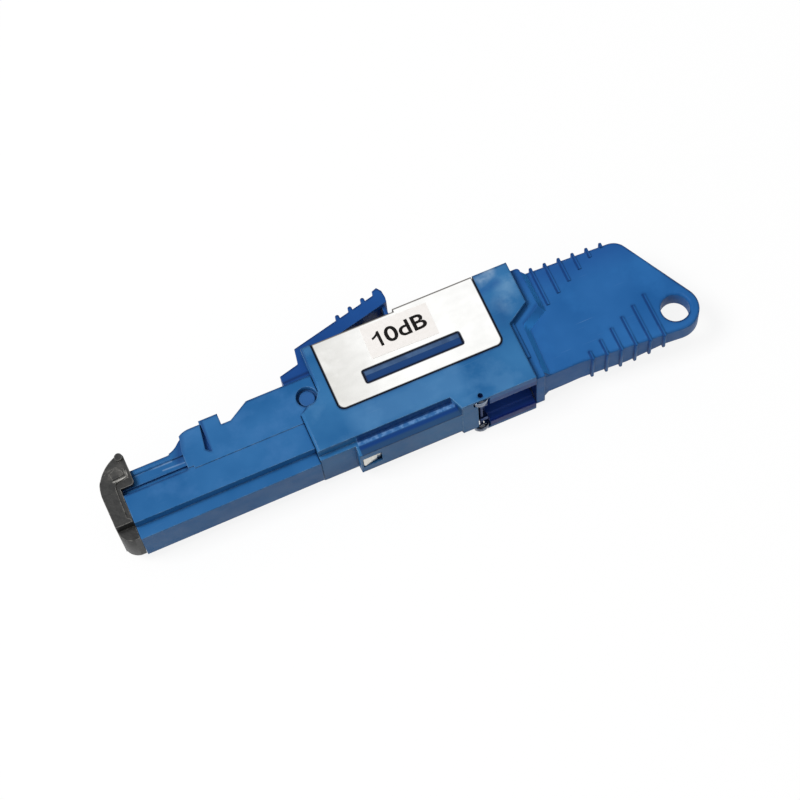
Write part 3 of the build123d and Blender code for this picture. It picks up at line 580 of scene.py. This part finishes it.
def plastic(name, low, high, rough_low, rough_high, pale=TONES["pale"], deep=TONES["deep"], wear_and_glint=0.4,
            spec=0.25, soft=0.22, drift_scale=110, tint=None, calm=None, corner=0.6):
    """Moulded plastic: slow colour drift, sparked skin, hairlines, edges paled as wear and as painted
    highlight where they face the light, painted shade on edges turned to +Y or +X, and corners darkened as
    painted shade.
    """
    m, t, b = new_material(name)
    co = object_coords(t)
    colour = ramp(t, noise(t, co, drift_scale), low, high, 0.35, 0.65)
    # Edges that face the light are painted pale: partly wear, partly painted highlight
    wear_glint_patches = remap(t, noise(t, co, 1400, 4, 0.65), 0.38, 0.64)
    edge = both(t, edge_mask(t, 0.16, (-0.5, -0.6, 0.6)), wear_glint_patches)
    colour = blend_colour(t, both(t, edge, wear_and_glint), colour, pale)
    # Painted shade: edges turned to +Y or +X, away from the light, darkened to the deep tone
    colour = blend_colour(t, both(t, upper_edge(t, 0.6), 0.85), colour, deep)
    colour = blend_colour(t, both(t, fine_scratches(t, co), 0.14), colour, pale)
    # Painted shade: corners and gaps darkened by occlusion
    colour = blend_colour(t, remap(t, crevice_mask(t, corner), 0.2, 0.75), deep, colour)
    if tint:
        colour = tint(t, colour)
    t.links.new(colour, b.inputs["Base Color"])
    rough = remap(t, noise(t, co, 500, 4, 0.6), 0.3, 0.7, rough_low, rough_high)
    t.links.new(rough, b.inputs["Roughness"])
    skin = noise(t, co, 6000)
    wave = noise(t, co, 220, 2)
    height = math_node(t, "ADD", both(t, skin, 0.12), wave)
    soft_normal(t, b, height, soft, calm(t) if calm else None)
    b.inputs["Specular IOR Level"].default_value = spec
    return m


def metal(name, low, high, rough, stretch=(4000, 200, 200), spread=0.15, edge_tone=None, edge_radius=0.05,
          shade_to=None, tint=None):
    """Worked metal: fine stretched grain in the roughness, with tone drift, a painted highlight on the
    edges when an edge tone is given, and corners darkened as painted shade.
    """
    m, t, b = new_material(name)
    b.inputs["Metallic"].default_value = 1.0
    co = object_coords(t)
    colour = ramp(t, noise(t, co, 260, 4, 0.6), low, high)
    if edge_tone:
        # Painted highlight on the edges
        colour = blend_colour(t, edge_mask(t, edge_radius), colour, edge_tone)
    if tint:
        colour = tint(t, colour)
    if shade_to:
        # Painted shade in corners
        colour = blend_colour(t, remap(t, crevice_mask(t, 0.5), 0.2, 0.8), shade_to, colour)
    t.links.new(colour, b.inputs["Base Color"])
    grain = noise(t, stretched(t, co, stretch), 1.0, 4)
    t.links.new(remap(t, grain, 0.3, 0.7, rough - spread / 2, rough + spread / 2), b.inputs["Roughness"])
    bump(t, b, grain, 0.12, 0.00001)
    return m


def cast_grey():
    """Dark cast metal with a rough skin, edges lightened as wear and as painted highlight, glints on the
    ear's inner step, and corners darkened as painted shade.
    """
    m, t, b = new_material("cast_grey")
    co = object_coords(t)
    colour = ramp(t, noise(t, co, 900, 5, 0.65), srgb(20, 21, 22), srgb(46, 46, 45))
    wear_glint_patches = remap(t, noise(t, co, 2200, 4, 0.7), 0.38, 0.6)
    # Edges lightened as wear and as painted highlight
    worn_and_glinting = math_node(t, "MULTIPLY", edge_mask(t, 0.22), wear_glint_patches, clamp=True)
    colour = blend_colour(t, both(t, worn_and_glinting, 0.6), colour, TONES["cast_wear_glint"])
    recess = zone(t, x=(0, 1.2), y=(7.5, 9.5), soft=0.4)
    colour = paint(t, colour, "cast_recess", 0.45, smudges(t, 620, 0.42, 0.62), recess)
    step = stroke(t, (0.0, 7.33), (1.3, 7.38), 0.14, 0.2)
    riser = stroke(t, (1.3, 7.38), (1.3, 8.3), 0.14, 0.2)
    ear = remap(t, split(t, co)[0], (X0 - 0.7) / PER_MM, (X0 - 0.4) / PER_MM)
    colour = paint(t, colour, "cast_glint", 0.75, either(t, step, riser), ear, smudges(t, 900, 0.34, 0.5))
    # Painted shade in corners
    colour = blend_colour(t, remap(t, crevice_mask(t, 0.5), 0.2, 0.8), TONES["cast_dark"], colour)
    t.links.new(colour, b.inputs["Base Color"])
    b.inputs["Metallic"].default_value = 0.4
    b.inputs["Roughness"].default_value = 0.46
    bump(t, b, noise(t, co, 2600, 4), 0.45, 0.00006)
    return m


def label_paper():
    m, t, b = new_material("label_paper")
    co = object_coords(t)
    colour = ramp(t, noise(t, co, 1800, 4), srgb(238, 234, 230), srgb(244, 240, 237))
    t.links.new(colour, b.inputs["Base Color"])
    b.inputs["Roughness"].default_value = 0.5
    bump(t, b, noise(t, co, 3000), 0.2, 0.00001)
    return m


def label_ink():
    m, t, b = new_material("label_ink")
    colour = ramp(t, noise(t, object_coords(t), 5000), srgb(9, 8, 8), srgb(18, 15, 15))
    t.links.new(colour, b.inputs["Base Color"])
    b.inputs["Roughness"].default_value = 0.6
    b.inputs["Specular IOR Level"].default_value = 0.1
    return m


def polished(name, colour, rough):
    """Ground ceramic or glass."""
    m, t, b = new_material(name)
    b.inputs["Base Color"].default_value = colour
    b.inputs["Roughness"].default_value = rough
    return m


NOSE_BLUE = plastic("blue_plastic", srgb(30, 92, 148), srgb(46, 106, 162), 0.34, 0.48, spec=0.12,
                    tint=nose_tint)
HOUSING_BLUE = plastic("blue_gloss", srgb(34, 94, 148), srgb(54, 114, 166), 0.3, 0.44, spec=0.1,
                       wear_and_glint=0.6, drift_scale=120, tint=housing_tint)
LEVER_BLUE = plastic("lever_blue", srgb(20, 68, 134), srgb(26, 78, 146), 0.3, 0.44, spec=0.12,
                     wear_and_glint=0.3, tint=lever_tint)
PLUG_BLUE = plastic("dust_blue", srgb(30, 90, 152), srgb(42, 102, 165), 0.34, 0.5, spec=0.1,
                    wear_and_glint=0.0, soft=0.35, corner=0.3, tint=plug_tint, calm=plug_calm)
BLACK = plastic("black_plastic", srgb(26, 26, 28), srgb(34, 34, 36), 0.4, 0.5,
                pale=srgb(70, 70, 72), deep=srgb(10, 10, 11))
PLATE = metal("clip_metal", srgb(234, 234, 232), srgb(242, 242, 241), 0.4, stretch=(500, 1400, 500),
              spread=0.05, tint=plate_tint)
NICKEL = metal("nickel", srgb(34, 46, 68), srgb(86, 100, 122), 0.3, edge_tone=srgb(214, 220, 226),
               shade_to=srgb(10, 18, 38))
PIN_CLIP = metal("clip_nickel", srgb(46, 60, 86), srgb(120, 134, 154), 0.26,
                 edge_tone=srgb(224, 230, 236), shade_to=srgb(10, 18, 38), tint=clip_tint)
FLAP = metal("flap_nickel", srgb(30, 48, 92), srgb(54, 76, 120), 0.45, edge_tone=srgb(84, 102, 138),
             edge_radius=0.04, shade_to=srgb(20, 32, 72))
STEEL = metal("steel", srgb(28, 44, 84), srgb(50, 68, 108), 0.5, shade_to=srgb(20, 30, 66))
SPRING = metal("spring_steel", srgb(196, 194, 186), srgb(222, 220, 212), 0.28,
               shade_to=srgb(20, 24, 34))
CAST = cast_grey()
PAPER = label_paper()
INK = label_ink()
CERAMIC = polished("zirconia", srgb(240, 236, 228), 0.12)
GLASS = polished("silica", srgb(235, 240, 242), 0.05)

FINISH = {
    "plug_body": NOSE_BLUE,
    "rear_housing": HOUSING_BLUE,
    "side_clip": PLATE,
    "rating_label": PAPER,
    "front_shutter": CAST,
    "front_shutter_pin": STEEL,
    "front_shutter_spring": SPRING,
    "latch_lever": LEVER_BLUE,
    "lever_spring": SPRING,
    "ferrule": CERAMIC,
    "doped_fibre": GLASS,
    "ferrule_flange": NICKEL,
    "ferrule_spring": SPRING,
    "spring_retainer": NICKEL,
    "sleeve_holder": BLACK,
    "sleeve_retainer": BLACK,
    "split_sleeve": CERAMIC,
    "rear_shutter": FLAP,
    "rear_shutter_pin": STEEL,
    "rear_shutter_spring": SPRING,
    "pin_clip_top": PIN_CLIP,
    "pin_clip_low": PIN_CLIP,
    "dust_plug": PLUG_BLUE,
}

# Rounding of the edges in millimetres
EDGE = {
    "plug_body": 0.12,
    "rear_housing": 0.12,
    "side_clip": 0.04,
    "front_shutter": 0.14,
    "latch_lever": 0.12,
    "dust_plug": 0.14,
    "rear_shutter": 0.03,
    "pin_clip_top": 0.03,
    "pin_clip_low": 0.03,
}
WELD_GAP = 0.000002
EDGE_ANGLE = 28


def ease_edges(o, radius_mm):
    weld = o.modifiers.new("weld", "WELD")
    weld.merge_threshold = WELD_GAP
    bev = o.modifiers.new("edge", "BEVEL")
    bev.width = radius_mm / PER_MM
    bev.segments = 2
    bev.limit_method = "ANGLE"
    bev.angle_limit = math.radians(EDGE_ANGLE)
    bev.harden_normals = False
    bev.use_clamp_overlap = True


for name, material in FINISH.items():
    nodes[name].data.materials.clear()
    nodes[name].data.materials.append(material)
    if name in EDGE:
        ease_edges(nodes[name], EDGE[name])


# Rating text

TEXT_CORNER = (35.75, 10.3)
TEXT_HEIGHT = 2.15
TEXT_WIDTH = 7.15
TEXT_TURN = 1.3
PRINT_Z = 4.803


def flat_letters(words, bold):
    """The figures' faces, and their points in units of the figures' height."""
    d = bpy.data.curves.new("letters", "FONT")
    d.body = words
    d.offset = bold
    temp = bpy.data.objects.new("temp_text", d)
    bpy.context.collection.objects.link(temp)
    bpy.context.view_layer.update()
    mesh = bpy.data.meshes.new_from_object(temp)
    bpy.data.objects.remove(temp)
    verts = [(v.co.x, v.co.y) for v in mesh.vertices]
    faces = [tuple(p.vertices) for p in mesh.polygons]
    low = min(y for x, y in verts)
    tall = max(y for x, y in verts) - low
    left = min(x for x, y in verts)
    return [((x - left) / tall, (y - low) / tall) for x, y in verts], faces


def rating_text():
    """Bold plain figures printed on the label: a flagged one, then the rest of the rating."""
    advance = 0.62
    one = [
        (0.28, 0), (0.43, 0), (0.43, 1), (0.32, 1), (0.26, 0.88), (0.15, 0.78), (0.0, 0.71),
        (0.0, 0.57), (0.15, 0.63), (0.28, 0.72),
    ]
    rest, faces = flat_letters("0dB", 0.02)
    verts = [(x + advance, y) for x, y in rest] + one
    faces = faces + [tuple(range(len(rest), len(verts)))]
    wide = max(x for x, y in verts)
    c, s = math.cos(math.radians(TEXT_TURN)), math.sin(math.radians(TEXT_TURN))
    x0, y0 = TEXT_CORNER
    placed = []
    for x, y in verts:
        x, y = x * TEXT_WIDTH / wide, y * TEXT_HEIGHT
        placed.append(tuple(at(x0 + x * c - y * s, y0 + x * s + y * c, PRINT_Z)))
    mesh = bpy.data.meshes.new("rating_text")
    mesh.from_pydata(placed, [], faces)
    mesh.materials.append(INK)
    o = bpy.data.objects.new("rating_text", mesh)
    bpy.context.collection.objects.link(o)
    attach(o, "housing")


rating_text()


# Stage and light

SEEN_SHADOW = 0.13
FLOOR_BOUNCE = 0.34
FLOOR_HALF = 1.5
FLOOR_DROP = 0.00002
BRIGHT_SIDE = (-0.45, -0.45, 0.75)
SKY_DARK = 0.02
SKY_BRIGHT = 0.56
KEY_PLACE = Vector((-0.5, 0.06, 0.9))
KEY_TARGET = Vector((0, 0, 0.004))
KEY_POWER = 7.5
KEY_SIZE = 0.4


def background_rays(t):
    """1 for the rays that see the background: camera, glossy and transmission rays."""
    lp = add(t, "ShaderNodeLightPath")
    total = lp.outputs["Is Camera Ray"]
    for ray in ("Is Glossy Ray", "Is Transmission Ray"):
        total = either(t, total, lp.outputs[ray])
    return total


def diffuse(t, value):
    n = add(t, "ShaderNodeBsdfDiffuse")
    n.inputs["Color"].default_value = grey(value)
    return n.outputs[0]


def mix_by_ray(t, light, seen, surface):
    """One shader for light and another for what is seen."""
    mix = add(t, "ShaderNodeMixShader")
    t.links.new(background_rays(t), mix.inputs[0])
    t.links.new(light, mix.inputs[1])
    t.links.new(seen, mix.inputs[2])
    t.links.new(mix.outputs[0], surface)


def make_floor():
    """A floor that is seen white with the object's shadow on it."""
    bm = bmesh.new()
    bmesh.ops.create_grid(bm, x_segments=1, y_segments=1, size=FLOOR_HALF)
    mesh = bpy.data.meshes.new("floor")
    bm.to_mesh(mesh)
    bm.free()
    floor = bpy.data.objects.new("floor", mesh)
    floor.location = (0, 0, -FLOOR_DROP)
    bpy.context.collection.objects.link(floor)
    m = bpy.data.materials.new("floor")
    m.use_nodes = True
    t = m.node_tree
    t.nodes.clear()
    out = add(t, "ShaderNodeOutputMaterial")
    white = add(t, "ShaderNodeEmission")
    white.inputs["Color"].default_value = grey(1.0)
    white.inputs["Strength"].default_value = 1.0 - SEEN_SHADOW
    seen = add(t, "ShaderNodeAddShader")
    t.links.new(white.outputs[0], seen.inputs[0])
    t.links.new(diffuse(t, SEEN_SHADOW), seen.inputs[1])
    mix_by_ray(t, diffuse(t, FLOOR_BOUNCE), seen.outputs[0], out.inputs["Surface"])
    mesh.materials.append(m)


def make_sky():
    """Soft light that is brighter from one side, and a white background."""
    world = bpy.data.worlds.new("world")
    bpy.context.scene.world = world
    world.use_nodes = True
    t = world.node_tree
    t.nodes.clear()
    out = add(t, "ShaderNodeOutputWorld")
    sky = add(t, "ShaderNodeBackground")
    sky.inputs["Color"].default_value = grey(1.0)
    toward = add(t, "ShaderNodeTexCoord").outputs["Generated"]
    bright_side = vector_math(t, "DOT_PRODUCT", toward, BRIGHT_SIDE, out="Value")
    t.links.new(remap(t, bright_side, -1.0, 1.0, SKY_DARK, SKY_BRIGHT), sky.inputs["Strength"])
    seen_sky = add(t, "ShaderNodeBackground")
    seen_sky.inputs["Color"].default_value = grey(1.0)
    seen_sky.inputs["Strength"].default_value = 1.0
    mix_by_ray(t, sky.outputs[0], seen_sky.outputs[0], out.inputs["Surface"])


def key_lamp():
    d = bpy.data.lights.new("key", "AREA")
    d.energy = KEY_POWER
    d.size = KEY_SIZE
    o = bpy.data.objects.new("key", d)
    o.location = KEY_PLACE
    o.rotation_euler = (KEY_TARGET - KEY_PLACE).to_track_quat("-Z", "Y").to_euler()
    bpy.context.collection.objects.link(o)


make_floor()
make_sky()
key_lamp()


# Camera, fitted to the photograph's view: its axes in the sketch, and where it sees the sketch's zero,
# in millimetres to the right, down and ahead

RIGHT = Vector((0.9184, -0.3920, -0.0537))
DOWN = Vector((-0.3795, -0.8346, -0.3993))
AHEAD = Vector((0.1117, 0.3871, -0.9153))
ORIGIN_SEEN_AT = (-31.20, 19.58, 274.31)
LENS = 98.99


def make_camera():
    eye = -(RIGHT * ORIGIN_SEEN_AT[0] + DOWN * ORIGIN_SEEN_AT[1] + AHEAD * ORIGIN_SEEN_AT[2])
    cam = bpy.data.cameras.new("camera")
    cam.lens = LENS
    cam.sensor_width = 36
    cam.clip_start = 0.01
    cam.clip_end = 10
    o = bpy.data.objects.new("camera", cam)
    turn = Matrix((RIGHT, -DOWN, -AHEAD)).transposed().to_4x4()
    o.matrix_world = Matrix.Translation(at(eye.x, eye.y, eye.z - HALF_THICK)) @ turn
    bpy.context.collection.objects.link(o)
    bpy.context.scene.camera = o


make_camera()
bpy.context.scene.view_settings.view_transform = "Standard"
